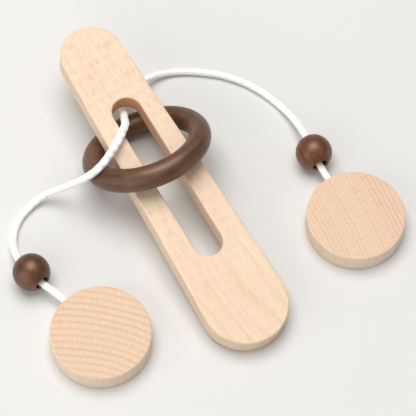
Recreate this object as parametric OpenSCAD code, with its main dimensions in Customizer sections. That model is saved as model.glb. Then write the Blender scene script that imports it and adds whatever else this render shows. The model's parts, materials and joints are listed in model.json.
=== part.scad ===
// Wooden disentanglement puzzle: a slotted board, a ring round it, and a cord
// with two beads and two end discs, lying on a table. Millimetres, +Z up, z = 0
// is the table. +X runs along the board from its narrow end to its wide end.

/* [Board] */
// Length over both round ends
board_length = 152; // [145:1:165]
// Thickness
board_thickness = 9.2; // [8:0.1:9.4]
// Width of the narrow, raised end
narrow_width = 26; // [22:0.5:26]
// Width of the wide end, which rests on the table
wide_width = 35; // [32:0.5:38]
// Length of the slot over its round ends
slot_length = 76; // [60:1:80]
// Width of the slot
slot_width = 12.3; // [11:0.1:14]

/* [Ring] */
// Outer diameter
ring_outer = 54; // [53:0.5:56]
// Width of its oval section, from the hole to the rim
ring_section = 9.2; // [8.5:0.1:9.2]
// Height of that section
ring_height = 9.8; // [9:0.1:10]

/* [Beads] */
// Diameter of a bead
bead_diameter = 15; // [14:0.5:16]
// Diameter of the bore that the cord runs through
bead_bore = 6.2; // [5.8:0.1:7]

/* [Discs] */
// Diameter of a disc
disc_diameter = 40; // [38:0.5:42]
// Thickness of a disc
disc_thickness = 9; // [8:0.5:10]
// Chamfer round both rims
disc_chamfer = 0.6; // [0.2:0.1:1]
// Diameter of the blind hole that holds the end of the cord
cord_hole = 3.8; // [3.6:0.1:4.5]
// Depth of that hole
cord_hole_depth = 10; // [9.5:0.5:15]

/* [Cord] */
// Diameter of the cord
cord_diameter = 3; // [2:0.1:3]

/* [Hidden] */
$fn = 96;

// The board leans on the ring: its wide end's lower rim is on the table
board_tilt = 7.5;
board_y = -2.4;
narrow_r = narrow_width / 2;
wide_r = wide_width / 2;
end_spacing = board_length - narrow_r - wide_r;
slot_r = slot_width / 2;
slot_half = slot_length / 2 - slot_r;
// Height of the top face's middle, and the shift that centres the board on x = 0
board_z = (end_spacing / 2 + wide_r) * sin(board_tilt) + board_thickness * cos(board_tilt);
reach_wide = (end_spacing / 2 + wide_r) * cos(board_tilt);
reach_narrow = (end_spacing / 2 + narrow_r) * cos(board_tilt) + board_thickness * sin(board_tilt);
board_x = (reach_narrow - reach_wide) / 2;

// The ring leans: its lower side is on the table under the board, its upper side
// is over the board. The lean is turned a little from the board's direction.
ring_tilt = 33.2;
ring_turn = 1.8;
section_r = ring_section / 2;
section_half = ring_height / 2;
ring_r = ring_outer / 2 - section_r;
// Height of the ring's middle when its lowest point is on the table
ring_z = ring_r * sin(ring_tilt)
    + norm([section_r * sin(ring_tilt), section_half * cos(ring_tilt)]);
ring_at = [-17.7, -2.5, ring_z];

bead_r = bead_diameter / 2;
bead_left_at = [3.3, -67.5, bead_r];
bead_right_at = [13.6, 58.5, bead_r];
// Headings of the two bores, anticlockwise from +X
bead_left_heading = 192;
bead_right_heading = 172;

disc_left_at = [40.4, -57.1, 0];
disc_right_at = [47.4, 57.1, 0];
// Headings in which the two discs' cord holes open
disc_left_heading = 192;
disc_right_heading = 178;

// The cord's centreline, from inside the left disc to inside the right disc
CORD_ROUTE = [
    // left disc, left bead, down to the table
    [29.6, -59.4, 4.5], [20.8, -61.3, 4.5], [15.5, -63.4, 5.9], [9.5, -65.9, 6.4],
    [3.3, -67.5, 6.4], [-4.0, -68.8, 6.1], [-9.9, -68.1, 4.2], [-14.8, -66.3, 2.2],
    // round on the table and up to the ring
    [-19.4, -63.1, 1.6], [-23.2, -58.4, 1.6], [-25.7, -52.2, 2.1], [-26.1, -46, 4.4],
    [-23.8, -41, 8], [-20.6, -36.5, 13], [-17.3, -32.8, 19],
    // over the ring, across the board's top face and down the slot
    [-15.1, -28.9, 24.3], [-15.5, -24, 26.7], [-18.1, -19, 26.7], [-21.5, -14, 25.8],
    [-24.9, -9.7, 25.1], [-28.5, -6.2, 23.2], [-33.2, -3.9, 19.4], [-38, -1.6, 14.9],
    // out from under the board and round on the table
    [-41.7, -0.2, 12], [-46, 3.3, 10.3], [-50.4, 10.6, 7.8], [-52.8, 18.5, 4.9],
    [-53, 26, 2.3], [-50.6, 33, 1.6], [-46, 40.3, 1.6], [-40, 47.4, 1.6],
    [-32.8, 53.2, 1.6], [-24.5, 57.5, 1.6], [-15.5, 60.3, 1.7],
    // right bead, right disc
    [-6.5, 61.1, 3.6], [2.5, 60.3, 6.1], [13.2, 58.7, 6.4], [20, 57.8, 6.1],
    [27.4, 57.8, 4.5], [36.4, 57.5, 4.5]
];
CORD_SIDES = 8;
RINGS_PER_STEP = 2;

// Steps in each round end of the board's outline and of its slot
ARC_STEPS = 36;
// Steps round the ring's oval section
OVAL_STEPS = 48;

// ---- functions ----

// Points of an arc about (x, 0), from one angle to another
function arc(x, r, from, to) = [
    for (k = [0 : ARC_STEPS])
        let (turn = from + (to - from) * k / ARC_STEPS)
        [x + r * cos(turn), r * sin(turn)]
];

// Outline of a bar along X with a round end at each side, joined by straight edges
// that touch both: the ends' centres are at -half and half, their radii a and b
function round_outline(half, a, b) =
    let (taper = asin((b - a) / (2 * half)))
    concat(arc(half, b, -90 - taper, 90 + taper), arc(-half, a, 90 + taper, 270 - taper));

// Oval about (x, 0), a wide and b high on each side
function oval(x, a, b) = [
    for (k = [0 : OVAL_STEPS - 1])
        let (turn = 360 * k / OVAL_STEPS)
        [x + a * cos(turn), b * sin(turn)]
];

function unit(v) = v / norm(v);

// Point i of the route, carried on straight by one step beyond each end
function route_point(p, i) =
    i < 0 ? 2 * p[0] - p[1]
    : i >= len(p) ? 2 * p[len(p) - 1] - p[len(p) - 2]
    : p[i];

// Smooth curve through b and c, with a and d as their outer neighbours
function curve(a, b, c, d, t) =
    0.5 * (2 * b + (c - a) * t + (2 * a - 5 * b + 4 * c - d) * t * t
           + (3 * b - a - 3 * c + d) * t * t * t);

function centreline(p) = [
    for (i = [0 : len(p) - 2], k = [0 : RINGS_PER_STEP - 1])
        curve(route_point(p, i - 1), p[i], p[i + 1], route_point(p, i + 2),
              k / RINGS_PER_STEP),
    p[len(p) - 1]
];

// Direction of the centreline at its point i
function heading(c, i) = unit(c[min(i + 1, len(c) - 1)] - c[max(i - 1, 0)]);

function cord_ring(c, i, r) =
    let (along = heading(c, i),
         side = unit(cross(along, [0, 0, 1])),
         lift = cross(side, along))
    [for (k = [0 : CORD_SIDES - 1])
        let (turn = 360 * (k + 0.5) / CORD_SIDES)
        c[i] + r * (cos(turn) * side + sin(turn) * lift)];

// ---- shapes that repeat ----

// Tube of radius r with flat ends along the centreline c
module tube(c, r) {
    last = len(c) - 1;
    points = [for (i = [0 : last]) each cord_ring(c, i, r)];
    walls = [for (i = [0 : last - 1], k = [0 : CORD_SIDES - 1])
        let (next = (k + 1) % CORD_SIDES,
             near = i * CORD_SIDES,
             far = near + CORD_SIDES)
        each [[near + k, far + next, near + next], [near + k, far + k, far + next]]];
    first_cap = [for (k = [0 : CORD_SIDES - 1]) k];
    last_cap = [for (k = [CORD_SIDES - 1 : -1 : 0]) last * CORD_SIDES + k];
    polyhedron(points, concat([first_cap], walls, [last_cap]), convexity = 10);
}

// Bead with its bore along the given heading
module bead(at, heading) {
    color("saddlebrown")
    translate(at)
    rotate([0, 90, heading])
    rotate_extrude()
        difference() {
            circle(r = bead_r);
            translate([-bead_diameter, -bead_diameter])
                square([bead_diameter + bead_bore / 2, 2 * bead_diameter]);
        }
}

// Flat disc with chamfered rims and a blind hole in its edge for the cord
module disc(at, heading) {
    r = disc_diameter / 2;
    profile = [
        [0, 0], [r - disc_chamfer, 0], [r, disc_chamfer],
        [r, disc_thickness - disc_chamfer], [r - disc_chamfer, disc_thickness],
        [0, disc_thickness]
    ];
    color("burlywood")
    translate(at)
    rotate([0, 0, heading])
    difference() {
        rotate_extrude() polygon(profile);
        translate([r - cord_hole_depth, 0, disc_thickness / 2])
            rotate([0, 90, 0])
                cylinder(d = cord_hole, h = 2 * cord_hole_depth);
    }
}

// Hollow of the slot, longer than the board is thick
module slot_cutter() {
    translate([0, 0, -1.5 * board_thickness])
        linear_extrude(2 * board_thickness)
            polygon(round_outline(slot_half, slot_r, slot_r));
}

// ---- the pieces ----

module board() {
    color("wheat")
    translate([board_x, board_y, board_z])
    rotate([0, board_tilt, 0])
    difference() {
        translate([0, 0, -board_thickness])
            linear_extrude(board_thickness)
                polygon(round_outline(end_spacing / 2, narrow_r, wide_r));
        slot_cutter();
    }
}

module ring() {
    color("sienna")
    translate(ring_at)
    rotate([0, -ring_tilt, ring_turn])
    rotate_extrude()
        polygon(oval(ring_r, section_r, section_half));
}

module cord() {
    color("white")
    tube(centreline(CORD_ROUTE), cord_diameter / 2);
}

module bead_left() {
    bead(bead_left_at, bead_left_heading);
}

module bead_right() {
    bead(bead_right_at, bead_right_heading);
}

module disc_left() {
    disc(disc_left_at, disc_left_heading);
}

module disc_right() {
    disc(disc_right_at, disc_right_heading);
}

board();
ring();
cord();
bead_left();
bead_right();
disc_left();
disc_right();
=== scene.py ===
"""Looks for the wooden ring and cord puzzle. Metres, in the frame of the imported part:
+X along the board from its narrow end to its wide end, +Z up, z = 0 the table."""
import json
import math

import bmesh
import bpy
from mathutils import Matrix, Vector, noise


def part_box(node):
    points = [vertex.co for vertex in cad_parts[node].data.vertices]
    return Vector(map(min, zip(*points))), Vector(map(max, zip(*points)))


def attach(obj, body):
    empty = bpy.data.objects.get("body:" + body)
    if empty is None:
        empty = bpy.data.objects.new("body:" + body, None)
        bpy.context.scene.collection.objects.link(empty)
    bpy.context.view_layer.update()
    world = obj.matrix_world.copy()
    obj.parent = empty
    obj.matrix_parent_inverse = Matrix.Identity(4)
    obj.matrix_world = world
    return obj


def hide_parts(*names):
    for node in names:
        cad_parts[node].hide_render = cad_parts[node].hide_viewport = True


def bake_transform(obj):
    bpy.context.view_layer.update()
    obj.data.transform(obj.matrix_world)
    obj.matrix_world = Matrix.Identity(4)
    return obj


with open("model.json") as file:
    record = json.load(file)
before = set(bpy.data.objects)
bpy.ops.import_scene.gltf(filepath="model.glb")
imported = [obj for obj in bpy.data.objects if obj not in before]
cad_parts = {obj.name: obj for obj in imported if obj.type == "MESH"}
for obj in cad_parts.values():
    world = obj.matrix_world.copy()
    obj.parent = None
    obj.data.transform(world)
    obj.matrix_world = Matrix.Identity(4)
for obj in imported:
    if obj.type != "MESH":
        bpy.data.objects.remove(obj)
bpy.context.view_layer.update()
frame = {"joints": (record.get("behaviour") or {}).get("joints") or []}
JOINTS = {joint["name"]: joint for joint in frame["joints"]}

MM = 0.001
scene = bpy.context.scene
scene.view_settings.view_transform = "Standard"


# ---------------------------------------------------------------- camera

# Where the camera stands, as seen from its target, and its lens in millimetres
CAMERA_AZIMUTH = math.radians(56.33)
CAMERA_ELEVATION = math.radians(61.56)
CAMERA_ROLL = math.radians(2.935)
CAMERA_DISTANCE = 847.7 * MM
CAMERA_TARGET = Vector((10.5, 9.93, 0)) * MM
CAMERA_LENS = 180.15
SENSOR_WIDTH = 36
CLIP_START = 10 * MM


def make_camera():
    flat = math.cos(CAMERA_ELEVATION)
    back = Vector((
        math.sin(CAMERA_AZIMUTH) * flat,
        -math.cos(CAMERA_AZIMUTH) * flat,
        math.sin(CAMERA_ELEVATION),
    ))
    level = Vector((math.cos(CAMERA_AZIMUTH), math.sin(CAMERA_AZIMUTH), 0))
    right = Matrix.Rotation(CAMERA_ROLL, 3, back) @ level
    up = back.cross(right)
    data = bpy.data.cameras.new("camera")
    data.lens = CAMERA_LENS
    data.sensor_width = SENSOR_WIDTH
    data.clip_start = CLIP_START
    camera = bpy.data.objects.new("camera", data)
    scene.collection.objects.link(camera)
    camera.matrix_world = (
        Matrix.Translation(CAMERA_TARGET + CAMERA_DISTANCE * back)
        @ Matrix((right, up, back)).transposed().to_4x4()
    )
    scene.camera = camera


make_camera()


# ---------------------------------------------------------------- node helpers

class Shader:
    """A material's node tree, with short calls for the nodes used here."""

    def __init__(self, name, roughness, specular=0.5):
        self.material = bpy.data.materials.new(name)
        self.material.use_nodes = True
        self.nodes = self.material.node_tree.nodes
        self.links = self.material.node_tree.links
        self.surface = self.nodes["Principled BSDF"]
        self.set(Roughness=roughness, Specular_IOR_Level=specular)

    def put(self, value, socket):
        """Links a socket, or sets a constant."""
        if isinstance(value, bpy.types.NodeSocket):
            self.links.new(value, socket)
        else:
            socket.default_value = value

    def set(self, **values):
        """Sets inputs of the surface, by name with _ for a space."""
        for name, value in values.items():
            self.put(value, self.surface.inputs[name.replace("_", " ")])

    def coords(self):
        return self.nodes.new("ShaderNodeTexCoord").outputs["Object"]

    def mapping(self, vector, scale=(1, 1, 1), rotation=(0, 0, 0), location=(0, 0, 0)):
        node = self.nodes.new("ShaderNodeMapping")
        self.put(vector, node.inputs["Vector"])
        node.inputs["Scale"].default_value = scale
        node.inputs["Rotation"].default_value = rotation
        node.inputs["Location"].default_value = location
        return node.outputs["Vector"]

    def parts(self, vector):
        """The x, y and z of a vector."""
        node = self.nodes.new("ShaderNodeSeparateXYZ")
        self.put(vector, node.inputs[0])
        return node.outputs

    def joined(self, x, y, z=0.0):
        """The vector of x, y and z."""
        node = self.nodes.new("ShaderNodeCombineXYZ")
        for value, socket in zip((x, y, z), node.inputs):
            self.put(value, socket)
        return node.outputs[0]

    def attribute(self, name):
        node = self.nodes.new("ShaderNodeAttribute")
        node.attribute_name = name
        return node.outputs["Fac"]

    def upright(self):
        """1 on walls that stand up and 0 on level faces."""
        normal = self.nodes.new("ShaderNodeTexCoord").outputs["Normal"]
        return self.minus(1.0, self.math("ABSOLUTE", self.parts(normal)[2]))

    def math(self, operation, a, b=0.0, clamp=False):
        node = self.nodes.new("ShaderNodeMath")
        node.operation = operation
        node.use_clamp = clamp
        self.put(a, node.inputs[0])
        self.put(b, node.inputs[1])
        return node.outputs[0]

    def plus(self, a, b):
        return self.math("ADD", a, b)

    def minus(self, a, b):
        return self.math("SUBTRACT", a, b)

    def times(self, a, b):
        return self.math("MULTIPLY", a, b)

    def distance(self, x, y):
        """How far (x, y) is from the origin."""
        return self.math("SQRT", self.plus(self.times(x, x), self.times(y, y)))

    def rise(self, value, low, high):
        """0 at low and 1 at high, smooth between them."""
        node = self.nodes.new("ShaderNodeMapRange")
        node.interpolation_type = "SMOOTHSTEP"
        self.put(value, node.inputs["Value"])
        node.inputs["From Min"].default_value = low
        node.inputs["From Max"].default_value = high
        return node.outputs["Result"]

    def fall(self, value, low, high):
        """1 at low and 0 at high, smooth between them."""
        return self.minus(1.0, self.rise(value, low, high))

    def ridge(self, value, start, top):
        """In each whole number, rises from 0 at start to 1 at top and falls to 0 at the end."""
        phase = self.math("FRACT", value)
        return self.times(self.rise(phase, start, top), self.fall(phase, top, 1.0))

    def noise(self, vector, scale=1.0, detail=3.0, rough=0.5):
        node = self.nodes.new("ShaderNodeTexNoise")
        self.put(vector, node.inputs["Vector"])
        node.inputs["Scale"].default_value = scale
        node.inputs["Detail"].default_value = detail
        node.inputs["Roughness"].default_value = rough
        return node.outputs["Fac"]

    def spots(self, vector, jitter=1.0):
        """Distance to, and random value of, the nearest scattered point."""
        node = self.nodes.new("ShaderNodeTexVoronoi")
        self.put(vector, node.inputs["Vector"])
        node.inputs["Scale"].default_value = 1.0
        node.inputs["Randomness"].default_value = jitter
        split = self.nodes.new("ShaderNodeSeparateColor")
        self.links.new(node.outputs["Color"], split.inputs[0])
        return node.outputs["Distance"], split.outputs[0]

    def random(self, value):
        """A random number from 0 to 1 for each whole number."""
        node = self.nodes.new("ShaderNodeTexWhiteNoise")
        node.noise_dimensions = "1D"
        self.put(self.math("FLOOR", value), node.inputs["W"])
        return node.outputs["Value"]

    def mix(self, factor, a, b):
        node = self.nodes.new("ShaderNodeMix")
        node.data_type = "RGBA"
        self.put(factor, node.inputs[0])
        for value, socket in ((a, node.inputs[6]), (b, node.inputs[7])):
            self.put(value if isinstance(value, bpy.types.NodeSocket) else (*value, 1), socket)
        return node.outputs[2]

    def colour(self, value):
        self.put(value, self.surface.inputs["Base Color"])

    def bump(self, height, depth, strength):
        node = self.nodes.new("ShaderNodeBump")
        node.inputs["Strength"].default_value = strength
        node.inputs["Distance"].default_value = depth
        self.put(height, node.inputs["Height"])
        self.links.new(node.outputs[0], self.surface.inputs["Normal"])


# ---------------------------------------------------------------- mesh helpers

# Steps round a small rounded rim
RIM_STEPS = 6


def middle_of(node):
    low, high = (Vector(corner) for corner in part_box(node))
    return (low + high) / 2


def add_object(name, mesh):
    piece = bpy.data.objects.new(name, mesh)
    scene.collection.objects.link(piece)
    return piece


def mesh_from(name, points, faces, marks):
    """Smooth-shaded mesh with outward normals; marks are one number a vertex, by name."""
    mesh = bpy.data.meshes.new(name)
    mesh.from_pydata([tuple(p) for p in points], [], faces)
    for label, values in marks.items():
        layer = mesh.attributes.new(label, "FLOAT", "POINT")
        layer.data.foreach_set("value", values)
    shape = bmesh.new()
    shape.from_mesh(mesh)
    bmesh.ops.recalc_face_normals(shape, faces=shape.faces)
    for face in shape.faces:
        face.smooth = True
    shape.to_mesh(mesh)
    shape.free()
    return mesh


def strip(first, second, count):
    """Quads between two loops of points that start at those indices."""
    return [
        (first + k, first + (k + 1) % count, second + (k + 1) % count, second + k)
        for k in range(count)
    ]


def skin(loops, count, closed):
    """Faces over loops of points that follow each other. If closed, the last loop joins the
    first; if not, each end has a cap."""
    faces = []
    for i in range(loops if closed else loops - 1):
        faces += strip(i * count, ((i + 1) % loops) * count, count)
    if not closed:
        faces.append(tuple(range(count)))
        faces.append(tuple(range((loops - 1) * count, loops * count)))
    return faces


def rounded_rim(radius):
    """(inset, depth, mark) from a face over its rounded rim to the wall; the mark is 1 in
    the middle of the rim."""
    rows = []
    for k in range(RIM_STEPS + 1):
        turn = math.pi / 2 * k / RIM_STEPS
        rows.append((radius * (1 - math.sin(turn)), radius * (1 - math.cos(turn)),
                     math.sin(2 * turn) ** 2))
    return rows


def lathe(name, profile, steps, place, wobble=0.0, closed=True):
    """Turns a profile of (radius, height, mark) points about Z, then places it.
    A closed profile makes a ring; an open one starts and ends near the axis."""
    points, marks = [], []
    for radius, height, mark in profile:
        for k in range(steps):
            turn = 2 * math.pi * k / steps
            point = Vector((radius * math.cos(turn), radius * math.sin(turn), height))
            if wobble:
                point *= 1 + wobble * noise.noise(point * 90)
            points.append(place @ point)
            marks.append(mark)
    return mesh_from(name, points, skin(len(profile), steps, closed), {"edge": marks})


# ---------------------------------------------------------------- cord

CORD_RADIUS = 1.5 * MM
# The cord's centreline in millimetres, as in the part's own source
CORD_ROUTE = [
    # left disc, left bead, down to the table
    (29.6, -59.4, 4.5), (20.8, -61.3, 4.5), (15.5, -63.4, 5.9), (9.5, -65.9, 6.4),
    (3.3, -67.5, 6.4), (-4.0, -68.8, 6.1), (-9.9, -68.1, 4.2), (-14.8, -66.3, 2.2),
    # round on the table and up to the ring
    (-19.4, -63.1, 1.6), (-23.2, -58.4, 1.6), (-25.7, -52.2, 2.1), (-26.1, -46, 4.4),
    (-23.8, -41, 8), (-20.6, -36.5, 13), (-17.3, -32.8, 19),
    # over the ring, across the board's top face and down the slot
    (-15.1, -28.9, 24.3), (-15.5, -24, 26.7), (-18.1, -19, 26.7), (-21.5, -14, 25.8),
    (-24.9, -9.7, 25.1), (-28.5, -6.2, 23.2), (-33.2, -3.9, 19.4), (-38, -1.6, 14.9),
    # out from under the board and round on the table
    (-41.7, -0.2, 12), (-46, 3.3, 10.3), (-50.4, 10.6, 7.8), (-52.8, 18.5, 4.9),
    (-53, 26, 2.3), (-50.6, 33, 1.6), (-46, 40.3, 1.6), (-40, 47.4, 1.6),
    (-32.8, 53.2, 1.6), (-24.5, 57.5, 1.6), (-15.5, 60.3, 1.7),
    # right bead, right disc
    (-6.5, 61.1, 3.6), (2.5, 60.3, 6.1), (13.2, 58.7, 6.4), (20, 57.8, 6.1),
    (27.4, 57.8, 4.5), (36.4, 57.5, 4.5),
]
# The cord enters the discs at these points
LEFT_MOUTH = Vector(CORD_ROUTE[1]) * MM
RIGHT_MOUTH = Vector(CORD_ROUTE[-2]) * MM
# The cord is two pieces that meet at this point of the route, hidden under the board
SEAM_INDEX = 24
# The braid is loosest at this point, over the board, and tight beyond this reach from it
LOOSEST = Vector(CORD_ROUTE[18]) * MM
LOOSE_REACH = 24 * MM
# Depth of the grooves between the strands, where the braid is tight and where it is loosest
TIGHT_RELIEF = 0.12 * MM
LOOSE_RELIEF = 0.42 * MM
# How far the cord strays from its route in the same two places
TIGHT_SWAY = 0.018 * MM
LOOSE_SWAY = 0.18 * MM
# How much its radius varies there, as a share of it
TIGHT_UNEVEN = 0.015
LOOSE_UNEVEN = 0.085
# How much thicker the cord is where it is loosest
LOOSE_SWELL = 0.26 * MM
STRANDS = 3
STRAND_PITCH = 3.6 * MM
# How far the braid turns, in whole turns, and slips from a regular one
TWIST_DRIFT = 0.06
PITCH_DRIFT = 0.5 * MM
# Height of a strand where it goes under, next to 1 where it goes over
UNDER_HEIGHT = 0.55
# Below 1, this power flattens a strand's top and steepens its sides
STRAND_POWER = 0.6
# Steps of the mesh: from point to point of the route, along the cord and round it
SPLINE_STEPS = 60
LOOP_STEP = 0.3 * MM
CORD_SIDES = 40

COTTON_STRAND = (1.0, 1.0, 0.98)
# Grey of the painted shade in the grooves between the strands
COTTON_GROOVE_SHADE = (0.78, 0.77, 0.75)
COTTON_PATCH = (0.93, 0.93, 0.92)
COTTON_FIBRE = (0.66, 0.65, 0.64)


def spline_point(a, b, c, d, t):
    """Smooth curve through b and c, with a and d as their outer neighbours."""
    return 0.5 * (
        2 * b + (c - a) * t + (2 * a - 5 * b + 4 * c - d) * t * t
        + (3 * b - a - 3 * c + d) * t ** 3
    )


def travelled_to(line):
    """Length of the way from the first point of a line to each of its points."""
    travelled = [0.0]
    for a, b in zip(line, line[1:]):
        travelled.append(travelled[-1] + (b - a).length)
    return travelled


def centreline():
    """Points along the route at even steps, and the step at which the seam lies."""
    route = [Vector(p) * MM for p in CORD_ROUTE]
    route = [2 * route[0] - route[1], *route, 2 * route[-1] - route[-2]]
    dense = []
    for i in range(1, len(route) - 2):
        dense += [spline_point(*route[i - 1:i + 3], k / SPLINE_STEPS) for k in range(SPLINE_STEPS)]
    dense.append(route[-2])
    travelled = travelled_to(dense)
    steps = round(travelled[-1] / LOOP_STEP)
    line, j = [], 0
    for k in range(steps + 1):
        goal = travelled[-1] * k / steps
        while j < len(dense) - 2 and travelled[j + 1] < goal:
            j += 1
        part = (goal - travelled[j]) / (travelled[j + 1] - travelled[j])
        line.append(dense[j].lerp(dense[j + 1], min(part, 1)))
    seam = round(travelled[SEAM_INDEX * SPLINE_STEPS] / travelled[-1] * steps)
    return line, seam


def mixed(a, b, part):
    return a + (b - a) * part


def strand_height(turns, along):
    """0 in the grooves and 1 on top of the strands of a braid: one set of strands winds
    each way, and they take turns to lie on top."""
    a = STRANDS * turns + along / STRAND_PITCH
    b = STRANDS * turns - along / STRAND_PITCH
    across, over = (a, b) if (math.floor(a) + math.floor(b)) % 2 == 0 else (b, a)
    rise = math.sin(math.pi * (across % 1)) ** STRAND_POWER
    return rise * (UNDER_HEIGHT + (1 - UNDER_HEIGHT) * math.sin(math.pi * (over % 1)))


def braid(line, travelled):
    """Loops of points round the line, with the strands in relief, and each point's height."""
    points, heights = [], []
    crossing = min(range(len(line)), key=lambda i: (line[i] - LOOSEST).length)
    side = Vector((0, 0, 1)).cross(line[1] - line[0]).normalized()
    for i, (centre, along) in enumerate(zip(line, travelled)):
        ahead = (line[min(i + 1, len(line) - 1)] - line[max(i - 1, 0)]).normalized()
        side = (side - side.dot(ahead) * ahead).normalized()
        lift = ahead.cross(side)
        loose = max(0.0, 1 - abs(along - travelled[crossing]) / LOOSE_REACH) ** 0.5
        relief = mixed(TIGHT_RELIEF, LOOSE_RELIEF, loose)
        uneven = mixed(TIGHT_UNEVEN, LOOSE_UNEVEN, loose) * noise.noise(centre * 330)
        crest = CORD_RADIUS * (1 + uneven) + LOOSE_SWELL * loose
        drift = mixed(TIGHT_SWAY, LOOSE_SWAY, loose) * Vector((
            noise.noise(centre * 210), noise.noise(centre * 230 + side),
            0.5 * noise.noise(centre * 190),
        ))
        spin = TWIST_DRIFT * noise.noise(Vector((along * 120, 3, 1)))
        shift = PITCH_DRIFT * noise.noise(centre * 300)
        for k in range(CORD_SIDES):
            turn = 2 * math.pi * k / CORD_SIDES
            height = strand_height(k / CORD_SIDES + spin, along + shift)
            outward = math.cos(turn) * side + math.sin(turn) * lift
            points.append(centre + drift + (crest - relief * (1 - height)) * outward)
            heights.append(height)
    return points, heights


def cord_pieces():
    """The cord's two pieces, each with its centreline and its length."""
    line, seam = centreline()
    travelled = travelled_to(line)
    points, heights = braid(line, travelled)
    pieces = []
    for name, first, last in (("cord_left", 0, seam), ("cord_right", seam, len(line) - 1)):
        span = slice(first * CORD_SIDES, (last + 1) * CORD_SIDES)
        faces = skin(last - first + 1, CORD_SIDES, closed=False)
        mesh = mesh_from(name, points[span], faces, {"strand": heights[span]})
        length = travelled[last] - travelled[first]
        pieces.append((add_object(name, mesh), line[first:last + 1], length))
    return pieces


def cotton():
    """White braided cotton: bright strands, painted shade in the grooves between them, fine
    fibres.
    """
    shader = Shader("white_cotton", roughness=0.85, specular=0.25)
    where = shader.coords()
    fibres = shader.noise(where, scale=5200, detail=4, rough=0.65)
    patches = shader.noise(where, scale=420, detail=2)
    # Painted shade: greyer where the strand height is low, in the grooves
    on_strand = shader.rise(shader.attribute("strand"), 0.05, 0.6)
    base = shader.mix(on_strand, COTTON_GROOVE_SHADE, COTTON_STRAND)
    base = shader.mix(shader.rise(patches, 0.45, 0.8), base, COTTON_PATCH)
    shader.colour(shader.mix(shader.times(fibres, 0.08), base, COTTON_FIBRE))
    shader.set(Sheen_Weight=0.9, Sheen_Roughness=0.55)
    shader.bump(fibres, depth=0.08 * MM, strength=0.5)
    return shader.material


COTTON = cotton()
(cord_left, left_line, left_length), (cord_right, right_line, right_length) = cord_pieces()
for piece in (cord_left, cord_right):
    piece.data.materials.append(COTTON)
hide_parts("cord")
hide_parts("cord")


# ---------------------------------------------------------------- woods

# The board's wood
PALE = (0.755, 0.577, 0.407)
PALE_PINK = (0.75, 0.545, 0.385)
PALE_LIGHT = (0.79, 0.64, 0.475)
PORE = (0.44, 0.28, 0.18)
GROWTH_LINE = (0.69, 0.44, 0.26)
# Painted shade on the slot's wall, browner towards its narrow end
SLOT_SHADE_COLOUR = (0.66, 0.35, 0.19)
# Growth lines per metre across the board, and how many lines' width they wander
LINE_RATE = 210.0
LINE_WANDER = 5.0
# They come in, and the pores fade, over this stretch of the board's length
LINES_FROM = 0 * MM
LINES_TO = 50 * MM
# Two layers of pores: their number per metre along, across and through, and a shift
PORE_LAYERS = (((250, 2900, 1800), 0.0), ((190, 2400, 1800), 5.3))

# The discs' wood
DISC_FACE = (0.72, 0.52, 0.36)
DISC_PINK = (0.72, 0.48, 0.35)
DISC_LIGHT = (0.80, 0.65, 0.50)
DISC_LINE = (0.53, 0.30, 0.17)
DISC_RIM_WOOD = (0.85, 0.71, 0.56)
# Width of its rays, and how many times per metre they change on their way out
RAY_WIDTH = 0.5 * MM
RAY_RATE = 180.0
# Width of the change to pinker wood
PINK_FADE = 14 * MM

# Where the stain is worn at the mouths of the beads
WORN_STAIN = (0.34, 0.22, 0.15)


def beech_along(name, tilt):
    """Pale beech with its grain along X, tipped by tilt: many short dark pores, fainter
    towards the wide end, a soft drift of tone, and faint wavy growth lines at that end.
    Painted shade browns the slot's wall where its mesh is marked as shaded."""
    shader = Shader(name, roughness=0.55, specular=0.35)
    grain = shader.mapping(shader.coords(), rotation=(0, -tilt, 0))
    drift = shader.noise(shader.mapping(grain, scale=(22, 90, 90)), detail=2)
    streaks = shader.noise(shader.mapping(grain, scale=(90, 1700, 1700)), rough=0.6)
    base = shader.mix(shader.rise(drift, 0.38, 0.62), PALE_PINK, PALE)
    base = shader.mix(shader.times(shader.rise(streaks, 0.35, 0.7), 0.6), base, PALE_LIGHT)

    along, across, _ = shader.parts(grain)
    wide_end = shader.rise(along, LINES_FROM, LINES_TO)
    waves = shader.noise(shader.mapping(grain, scale=(17, 60, 60)), detail=1)
    rows = shader.plus(shader.times(across, LINE_RATE), shader.times(waves, LINE_WANDER))
    lines = shader.times(shader.ridge(rows, 0.55, 0.9), wide_end)
    base = shader.mix(shader.times(lines, 0.36), base, GROWTH_LINE)

    pores = 0.0
    for rate, shift in PORE_LAYERS:
        cells = shader.mapping(grain, scale=rate, location=(shift, shift, shift))
        distance, pick = shader.spots(cells, jitter=0.75)
        layer = shader.times(shader.fall(distance, 0.15, 0.42), shader.rise(pick, 0.4, 1.0))
        pores = shader.math("MAXIMUM", pores, layer)
    strength = shader.minus(0.6, shader.times(wide_end, 0.32))
    base = shader.mix(shader.times(pores, strength), base, PORE)

    base = shader.mix(shader.times(shader.attribute("edge"), 0.35), base, PALE_LIGHT)
    # Painted shade on the slot's wall, broken up by the streaks
    uneven = shader.plus(shader.times(streaks, 0.8), 0.6)
    slot_shaded = shader.math("MULTIPLY", shader.attribute("slot_shade"), uneven, clamp=True)
    shader.colour(shader.mix(slot_shaded, base, SLOT_SHADE_COLOUR))
    height = shader.minus(shader.times(streaks, 0.35), pores)
    shader.bump(height, depth=0.05 * MM, strength=0.4)
    return shader.material


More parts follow.
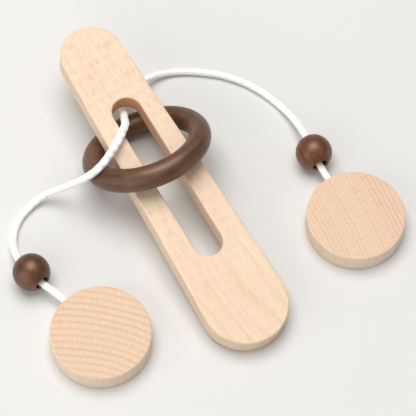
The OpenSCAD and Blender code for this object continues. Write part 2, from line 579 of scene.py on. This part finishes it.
def beech_across(name, ring_centre, disc_centre, ring_pitch, pink_from, least):
    """Pale beech cut across its grain: growth rings about a far centre, each with its own
    strength of at least that much, and fine rays that run out from the centre. The wood is
    pinker further than pink_from beyond the disc's middle. The rim is paler than the faces."""
    shader = Shader(name, roughness=0.6, specular=0.3)
    where = shader.mapping(shader.coords(), location=(-ring_centre[0], -ring_centre[1], 0))
    flat = shader.mapping(where, scale=(1, 1, 0.05))
    reach = (disc_centre - ring_centre).length
    x, y, _ = shader.parts(flat)
    outwards = shader.distance(x, y)
    bearing = shader.math("ARCTAN2", y, x)

    wobble = shader.times(shader.noise(flat, scale=45, detail=2, rough=0.3), 0.8)
    rings = shader.plus(shader.math("DIVIDE", outwards, ring_pitch), wobble)
    late = shader.ridge(rings, 0.45, 0.9)
    strength = shader.plus(shader.times(shader.random(rings), 1.0 - least), least)
    rays = shader.noise(rough=0.6, vector=shader.joined(
        shader.times(bearing, reach / RAY_WIDTH), shader.times(outwards, RAY_RATE)))
    fine = shader.noise(shader.mapping(where, scale=(1, 1, 0.12)), scale=2300, rough=0.7)
    patches = shader.noise(flat, scale=38, detail=1)

    pink_start = reach + pink_from
    pinkness = shader.math(
        "ADD", shader.rise(outwards, pink_start, pink_start + PINK_FADE),
        shader.times(shader.rise(patches, 0.35, 0.65), 0.35), clamp=True)
    base = shader.mix(pinkness, DISC_FACE, DISC_PINK)
    base = shader.mix(shader.times(shader.rise(rays, 0.35, 0.7), 0.3), base, DISC_LINE)
    base = shader.mix(shader.times(shader.rise(fine, 0.4, 0.7), 0.4), base, DISC_LIGHT)
    broken = shader.plus(shader.times(rays, 0.7), 0.2)
    base = shader.mix(shader.times(shader.times(late, strength), broken), base, DISC_LINE)
    base = shader.mix(shader.times(shader.attribute("edge"), 0.4), base, DISC_LIGHT)
    shader.colour(shader.mix(shader.times(shader.upright(), 0.6), base, DISC_RIM_WOOD))
    height = shader.minus(shader.times(fine, 0.5), late)
    shader.bump(height, depth=0.04 * MM, strength=0.5)
    return shader.material


def stained(name, dark, light, tint, roughness, index, relief, place, ring_radius=None):
    """Turned wood under a brown stain and satin lacquer. Its grain runs along the local X
    of place or, with a ring_radius, round its local Z. The tint colours the lacquer's shine,
    and relief is how strongly the grain breaks it up."""
    shader = Shader(name, roughness, specular=0.9)
    inverse = place.inverted()
    local = shader.mapping(shader.coords(), rotation=inverse.to_euler(),
                           location=inverse.to_translation())
    grain = local
    if ring_radius:
        x, y, z = shader.parts(local)
        bearing = shader.math("ARCTAN2", y, x)
        grain = shader.joined(shader.times(bearing, ring_radius), shader.distance(x, y), z)
    streaks = shader.noise(shader.mapping(grain, scale=(90, 900, 900)), detail=4, rough=0.6)
    blotches = shader.noise(local, scale=190, detail=2)
    mottle = shader.noise(shader.mapping(grain, scale=(0.5, 1, 1)), scale=2300, rough=0.7)
    distance, pick = shader.spots(shader.mapping(grain, scale=(300, 1700, 1700)))
    pores = shader.times(shader.fall(distance, 0.1, 0.35), shader.rise(pick, 0.5, 0.9))

    amount = shader.plus(shader.times(streaks, 0.5), shader.times(blotches, 0.3))
    amount = shader.plus(amount, shader.times(mottle, 0.3))
    base = shader.mix(shader.rise(amount, 0.42, 0.68), dark, light)
    base = shader.mix(shader.times(pores, 0.6), base, tuple(0.35 * part for part in dark))
    shader.colour(shader.mix(shader.times(shader.attribute("edge"), 0.5), base, WORN_STAIN))
    shader.set(IOR=index, Specular_Tint=(*tint, 1), Sheen_Weight=0.12, Sheen_Roughness=0.25)
    height = shader.plus(shader.minus(streaks, pores), mottle)
    shader.bump(height, depth=0.08 * MM, strength=relief)
    return shader.material


# ---------------------------------------------------------------- board

# The ring slides along the board, so its slide has the board's slope
BOARD_TILT = math.asin(-Vector(JOINTS["ring_slide"]["axis"]).z)
BOARD_THICK = 9.2 * MM
# Radii of the two round ends, and half the distance between their centres
NARROW_R = 13 * MM
WIDE_R = 17.5 * MM
END_HALF = 60.75 * MM
# The same of the slot
SLOT_R = 6.15 * MM
SLOT_HALF = 31.85 * MM
RIM = 0.7 * MM
# Extra rows of points, this far beyond a rounded rim, keep the shading of the faces flat
RIM_HOLD = 0.12 * MM
FACE_HOLD = 0.5 * MM
# How unevenly the rims are sanded, as a share of their inset
RIM_WEAR = 0.25
# How much painted shade browns the slot's wall half way along, where the board shades it; it is
# four times that at its narrow end, and 0 at its wide end
SLOT_SHADE_AMOUNT = 0.23
ARC_STEPS = 40
SIDE_STEPS = 30


def board_place():
    """From the board's own frame, with z = 0 on its top face, to the part's frame."""
    low, high = (Vector(corner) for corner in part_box("board"))
    reach = END_HALF + WIDE_R
    up = reach * math.sin(BOARD_TILT) + BOARD_THICK * math.cos(BOARD_TILT)
    shift = high.x - reach * math.cos(BOARD_TILT)
    middle = (low.y + high.y) / 2
    return Matrix.Translation((shift, middle, up)) @ Matrix.Rotation(BOARD_TILT, 4, "Y")


def outline(half, a, b, grow):
    """Points round a bar with round ends, grown outwards; radii a at -half and b at half."""
    lean = math.asin((b - a) / (2 * half))
    quarter = math.pi / 2
    points = []
    for centre, radius, start, sweep in (
        (half, b + grow, -quarter - lean, math.pi + 2 * lean),
        (-half, a + grow, quarter + lean, math.pi - 2 * lean),
    ):
        for k in range(ARC_STEPS + 1):
            turn = start + sweep * k / ARC_STEPS
            points.append(Vector((centre + radius * math.cos(turn), radius * math.sin(turn), 0)))
    wide, narrow = points[:ARC_STEPS + 1], points[ARC_STEPS + 1:]

    def side(p, q):
        return [p.lerp(q, k / SIDE_STEPS) for k in range(1, SIDE_STEPS)]

    return wide + side(wide[-1], narrow[0]) + narrow + side(narrow[-1], wide[0])


def board_mesh():
    place = board_place()
    top = [
        (RIM + FACE_HOLD, 0.0, 0.0), (RIM + RIM_HOLD, 0.0, 0.0),
        *rounded_rim(RIM), (0.0, RIM + RIM_HOLD, 0.0),
    ]
    rows = top + [(inset, BOARD_THICK - depth, mark) for inset, depth, mark in reversed(top)]
    points, marks, slot_shade, loops = [], [], [], []
    for half, a, b, sign in ((END_HALF, NARROW_R, WIDE_R, -1), (SLOT_HALF, SLOT_R, SLOT_R, 1)):
        starts = []
        for inset, depth, mark in rows:
            starts.append(len(points))
            on_slot_wall = sign == 1 and inset < RIM / 2
            for point in outline(half, a, b, sign * inset):
                outward = Vector((point.x - max(-half, min(half, point.x)), point.y, 0))
                worn = RIM_WEAR * inset * noise.noise(point * 120 + Vector((0, 0, depth * 40)))
                point += sign * worn * outward.normalized()
                points.append(place @ Vector((point.x, point.y, -depth)))
                marks.append(mark)
                # Painted shade marked on the slot's wall, strongest at its narrow end
                slot_shade.append(SLOT_SHADE_AMOUNT * (1 - point.x / SLOT_HALF) ** 2 if on_slot_wall else 0.0)
        loops.append(starts)
    count = loops[0][1]
    faces = []
    for starts in loops:
        for first, second in zip(starts, starts[1:]):
            faces += strip(first, second, count)
    for row in (0, -1):
        faces += strip(loops[0][row], loops[1][row], count)
    return mesh_from("board_body", points, faces, {"edge": marks, "slot_shade": slot_shade})


board_piece = add_object("board_body", board_mesh())
board_piece.data.materials.append(beech_along("pale_beech", BOARD_TILT))
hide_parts("board")
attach(board_piece, "board")


# ---------------------------------------------------------------- ring

# Radius of the ring's middle line, and half the width and height of its oval section
RING_R = 22.4 * MM
SECTION_R = 4.6 * MM
SECTION_HALF = 4.9 * MM
RING_TILT = math.radians(33.2)
RING_TURN = math.radians(1.8)
RING_WOBBLE = 0.001
SECTION_STEPS = 56
RING_STEPS = 200


def ring_place():
    return (
        Matrix.Translation(middle_of("ring")) @ Matrix.Rotation(RING_TURN, 4, "Z")
        @ Matrix.Rotation(-RING_TILT, 4, "Y")
    )


def ring_mesh():
    profile = []
    for k in range(SECTION_STEPS):
        turn = 2 * math.pi * k / SECTION_STEPS
        profile.append((RING_R + SECTION_R * math.cos(turn), SECTION_HALF * math.sin(turn), 0.0))
    return lathe("ring_body", profile, RING_STEPS, ring_place(), RING_WOBBLE)


ring_piece = add_object("ring_body", ring_mesh())
ring_piece.data.materials.append(stained(
    "dark_stained_wood", dark=(0.050, 0.021, 0.010), light=(0.122, 0.047, 0.020),
    tint=(1.0, 0.77, 0.62), roughness=0.42, index=1.52, relief=0.5,
    place=ring_place(), ring_radius=RING_R,
))
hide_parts("ring")
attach(ring_piece, "ring")


# ---------------------------------------------------------------- beads

BEAD_R = 7.5 * MM
BORE_R = 3.1 * MM
# Width of the rounded mouths of the bore, and their depth for that width
MOUTH_RIM = 0.35 * MM
MOUTH_DEPTH = 1.6
BEAD_WOBBLE = 0.002
ROUND_STEPS = 60
BEAD_STEPS = 96


def bead_profile():
    """Closed (radius, height, mark) outline: sphere, rounded mouth, bore, rounded mouth."""
    tip = math.asin((BORE_R + MOUTH_RIM) / BEAD_R)
    outer = []
    for k in range(ROUND_STEPS + 1):
        turn = -math.pi / 2 + tip + (math.pi - 2 * tip) * k / ROUND_STEPS
        outer.append((BEAD_R * math.cos(turn), BEAD_R * math.sin(turn), 0.0))
    mouth_z = outer[-1][1]
    rim = [
        (BORE_R + inset, mouth_z - MOUTH_DEPTH * depth, 1.0)
        for inset, depth, _ in rounded_rim(MOUTH_RIM)[1:-1]
    ]
    bore = [(BORE_R, z * mouth_z, 0.0) for z in (0.85, 0.4, 0.0, -0.4, -0.85)]
    far_rim = [(r, -z, mark) for r, z, mark in reversed(rim)]
    return outer + rim + bore + far_rim


def make_bead(node, dark, light):
    axis = Vector(JOINTS[node + "_slide"]["axis"])
    along = (
        Matrix.Translation(middle_of(node))
        @ Matrix.Rotation(math.atan2(axis.y, axis.x), 4, "Z")
    )
    upright = along @ Matrix.Rotation(math.pi / 2, 4, "Y")
    mesh = lathe(node + "_body", bead_profile(), BEAD_STEPS, upright, BEAD_WOBBLE)
    piece = add_object(node + "_body", mesh)
    piece.data.materials.append(stained(
        node + "_stain", dark, light, tint=(1.0, 0.57, 0.39), roughness=0.4, index=1.66,
        relief=0.9, place=along,
    ))
    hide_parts(node)
    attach(piece, node)


make_bead("bead_left", dark=(0.024, 0.012, 0.007), light=(0.092, 0.040, 0.019))
make_bead("bead_right", dark=(0.040, 0.013, 0.005), light=(0.150, 0.051, 0.017))


# ---------------------------------------------------------------- discs

DISC_R = 20 * MM
DISC_THICK = 9 * MM
DISC_RIM = 0.6 * MM
HOLE_R = 1.9 * MM
HOLE_DEPTH = 10 * MM
# Edges sharper than this stay sharp round the hole
SHARP_ANGLE = math.radians(40)
# Radii and heights, in millimetres, of the rows of points on the faces and on the wall
FACE_ROWS = (0.2, 3, 6, 9, 12, 15, 17.5, 18.8)
WALL_ROWS = (0.75, 2, 3.3, 4.5, 5.7, 7, 8.25)
DISC_STEPS = 180
DRILL_STEPS = 64


def disc_profile():
    """Open (radius, height, mark) outline from the middle of the base to that of the top."""
    base = [(r * MM, 0.0, 0.0) for r in FACE_ROWS]
    base += [(DISC_R - inset, depth, mark) for inset, depth, mark in rounded_rim(DISC_RIM)]
    wall = [(DISC_R, z * MM, 0.0) for z in WALL_ROWS]
    top = [(r, DISC_THICK - z, mark) for r, z, mark in reversed(base)]
    return base + wall + top


def cut_hole(piece, mouth, inward):
    """Drills the blind hole for the cord's end."""
    bpy.ops.mesh.primitive_cylinder_add(
        vertices=DRILL_STEPS, radius=HOLE_R, depth=2 * HOLE_DEPTH, location=mouth,
        rotation=inward.to_track_quat("Z", "Y").to_euler(),
    )
    drill = bpy.context.object
    cut = piece.modifiers.new("hole", "BOOLEAN")
    cut.operation = "DIFFERENCE"
    cut.solver = "EXACT"
    cut.object = drill
    graph = bpy.context.evaluated_depsgraph_get()
    solid = bpy.data.meshes.new_from_object(piece.evaluated_get(graph))
    piece.modifiers.clear()
    piece.data = solid
    bpy.data.objects.remove(drill)
    solid.set_sharp_from_angle(angle=SHARP_ANGLE)


def make_disc(node, mouth, material):
    """Builds the disc, and returns the direction in which the cord runs into it."""
    centre = middle_of(node)
    place = Matrix.Translation((centre.x, centre.y, 0))
    mesh = lathe(node + "_body", disc_profile(), DISC_STEPS, place, closed=False)
    piece = add_object(node + "_body", mesh)
    inward = Vector((centre.x - mouth.x, centre.y - mouth.y, 0)).normalized()
    cut_hole(piece, mouth, inward)
    piece.data.materials.clear()
    piece.data.materials.append(material)
    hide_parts(node)
    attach(piece, node)
    return inward


left_inward = make_disc("disc_left", LEFT_MOUTH, beech_across(
    "disc_left_beech", ring_centre=Vector((98, -110)) * MM,
    disc_centre=middle_of("disc_left").to_2d(), ring_pitch=2.75 * MM,
    pink_from=30 * MM, least=0.5,
))
right_inward = make_disc("disc_right", RIGHT_MOUTH, beech_across(
    "disc_right_beech", ring_centre=Vector((15, -200)) * MM,
    disc_centre=middle_of("disc_right").to_2d(), ring_pitch=1.8 * MM,
    pink_from=0 * MM, least=0.05,
))


# ---------------------------------------------------------------- the cord's pieces

# How far each disc's half of the cord would bend to each side of the swing's pivot as the disc
# swings
LEFT_BEND = 6.5 * MM
RIGHT_BEND = 5.25 * MM
for piece, body, mouth, inward, bend, line, length in (
    (cord_left, "disc_left", LEFT_MOUTH, left_inward, LEFT_BEND, left_line, left_length),
    (cord_right, "disc_right", RIGHT_MOUTH, right_inward, RIGHT_BEND, right_line, right_length),
):
    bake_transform(piece)


# ---------------------------------------------------------------- stage and light

FLOOR_SIZE = 6
# Keeps the floor clear of the undersides that lie on the table
FLOOR_DROP = 0.02 * MM
FLOOR_COLOUR = (0.69, 0.68, 0.66)
WORLD_STRENGTH = 0.33


def make_floor():
    bpy.ops.mesh.primitive_plane_add(size=FLOOR_SIZE, location=(0, 0, -FLOOR_DROP))
    floor = bpy.context.object
    floor.name = "floor"
    paper = Shader("floor_paper", roughness=0.9)
    paper.colour((*FLOOR_COLOUR, 1))
    floor.data.materials.append(paper.material)


def add_light(name, place, size, power):
    """Rectangular light that shines at the middle of the part."""
    data = bpy.data.lights.new(name, "AREA")
    data.shape = "RECTANGLE"
    data.size, data.size_y = size
    data.energy = power
    lamp = bpy.data.objects.new(name, data)
    scene.collection.objects.link(lamp)
    lamp.location = place
    lamp.rotation_euler = (-Vector(place)).to_track_quat("-Z", "Y").to_euler()


def make_world():
    world = bpy.data.worlds.new("studio")
    world.use_nodes = True
    background = world.node_tree.nodes["Background"]
    background.inputs["Color"].default_value = (1, 1, 1, 1)
    background.inputs["Strength"].default_value = WORLD_STRENGTH
    scene.world = world


make_floor()
make_world()
add_light("overhead", place=(-0.38, 0.05, 1.6), size=(1.3, 1.3), power=26.5)
add_light("fill", place=(0.3, -1.0, 0.5), size=(1.5, 1.0), power=6.2)
